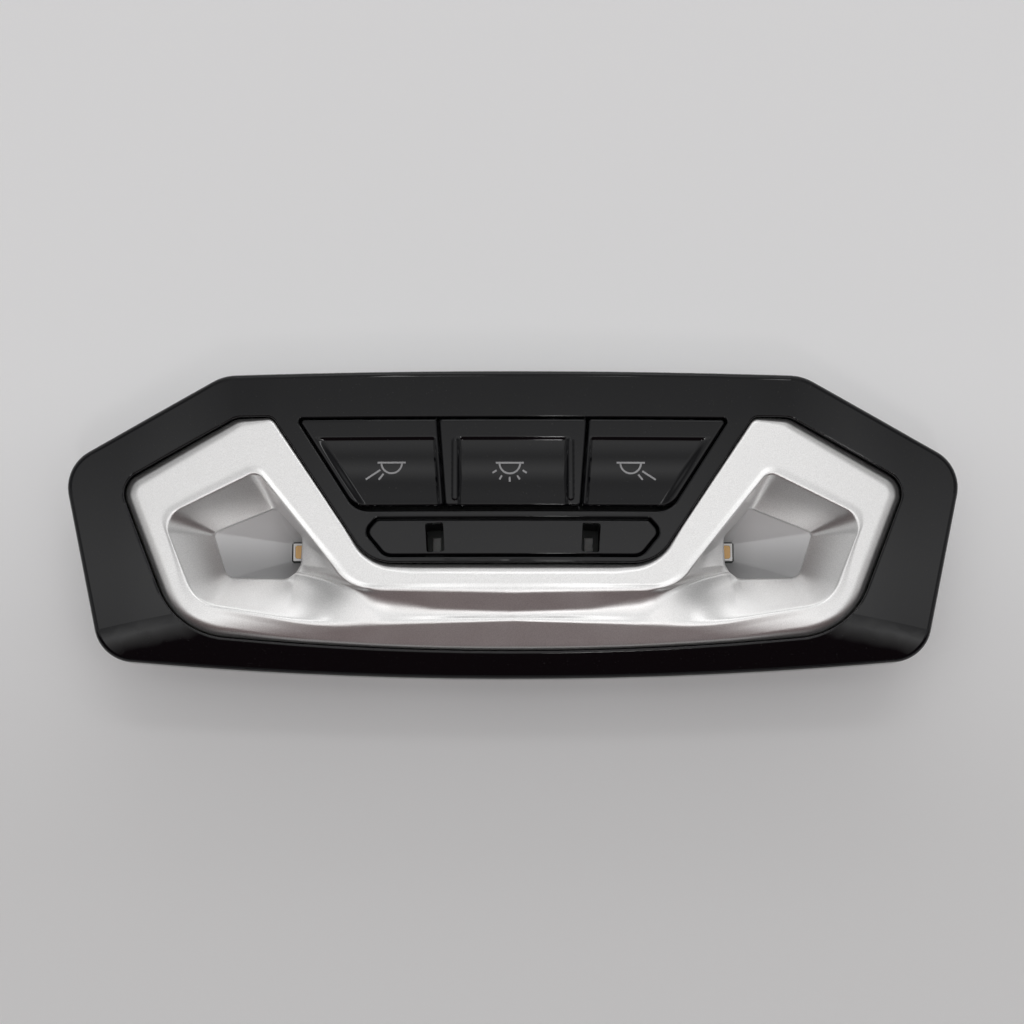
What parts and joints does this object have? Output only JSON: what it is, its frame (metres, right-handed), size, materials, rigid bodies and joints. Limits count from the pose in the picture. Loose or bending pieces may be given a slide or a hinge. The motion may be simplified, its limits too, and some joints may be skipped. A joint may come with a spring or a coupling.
{
  "type": "car interior reading light",
  "caption": "Roof reading light of a car: gloss black bezel around a satin silver trim with deep light pockets, push keys and a slotted light bar.",
  "frame": {"origin": "on the back of the rear housing, in the middle of the lamp's length and height", "axes": "+X along the lamp to the right as seen from the front, +Y up the face, +Z out of the face"},
  "size_m": [0.1792, 0.0612, 0.0281],
  "materials": {
    "gloss_black": "gloss moulded black plastic",
    "satin_silver": "satin silver paint on plastic, fine metallic speckle",
    "metallised": "bright metallised plastic",
    "led_white": "white package plastic",
    "phosphor": "orange phosphor under clear resin",
    "carrier_black": "fine matt black plastic",
    "board_green": "green solder mask",
    "switch_grey": "matt dark grey plastic",
    "dome_rubber": "milky silicone rubber",
    "chip_black": "matt black moulding compound",
    "housing_grey": "fine textured dark grey plastic",
    "shroud_natural": "natural connector plastic",
    "pin_brass": "bright contact plating",
    "spring_steel": "blank spring steel",
    "screw_steel": "zinc plated steel"
  },
  "bodies": {
    "lamp": {"bezel_frame": "gloss_black", "silver_trim": "satin_silver", "left_reflector": "metallised", "right_reflector": "metallised", "left_led_package": "led_white", "right_led_package": "led_white", "left_led_phosphor": "phosphor", "right_led_phosphor": "phosphor", "key_carrier": "carrier_black", "light_bar": "gloss_black", "left_courtesy_led": "led_white", "right_courtesy_led": "led_white", "circuit_board": "board_green", "left_switch_body": "switch_grey", "centre_switch_body": "switch_grey", "right_switch_body": "switch_grey", "left_switch_dome": "dome_rubber", "centre_switch_dome": "dome_rubber", "right_switch_dome": "dome_rubber", "key_lights": "led_white", "driver_chip": "chip_black", "rear_housing": "housing_grey", "connector_shroud": "shroud_natural", "connector_pins": "pin_brass", "upper_left_clip": "spring_steel", "upper_right_clip": "spring_steel", "lower_left_clip": "spring_steel", "lower_right_clip": "spring_steel", "housing_screws": "screw_steel", "board_screws": "screw_steel"},
    "left_key": {"left_key": "gloss_black"},
    "centre_key": {"centre_key": "gloss_black"},
    "right_key": {"right_key": "gloss_black"}
  },
  "joints": [
    {"name": "left_key_hinge", "type": "hinge", "parent": "lamp", "child": "left_key", "pos_m": [-0.027, 0.0168, 0.0226], "axis": [1, 0, 0], "range_deg": [0, 4.5], "stiffness_Nm_per_rad": 0.25, "springref_deg": -2.86, "deforming": ["left_switch_dome"]},
    {"name": "centre_key_hinge", "type": "hinge", "parent": "lamp", "child": "centre_key", "pos_m": [0, 0.0168, 0.0226], "axis": [1, 0, 0], "range_deg": [0, 4.5], "stiffness_Nm_per_rad": 0.25, "springref_deg": -2.86, "deforming": ["centre_switch_dome"]},
    {"name": "right_key_hinge", "type": "hinge", "parent": "lamp", "child": "right_key", "pos_m": [0.027, 0.0168, 0.0226], "axis": [1, 0, 0], "range_deg": [0, 4.5], "stiffness_Nm_per_rad": 0.25, "springref_deg": -2.86, "deforming": ["right_switch_dome"]}
  ]
}
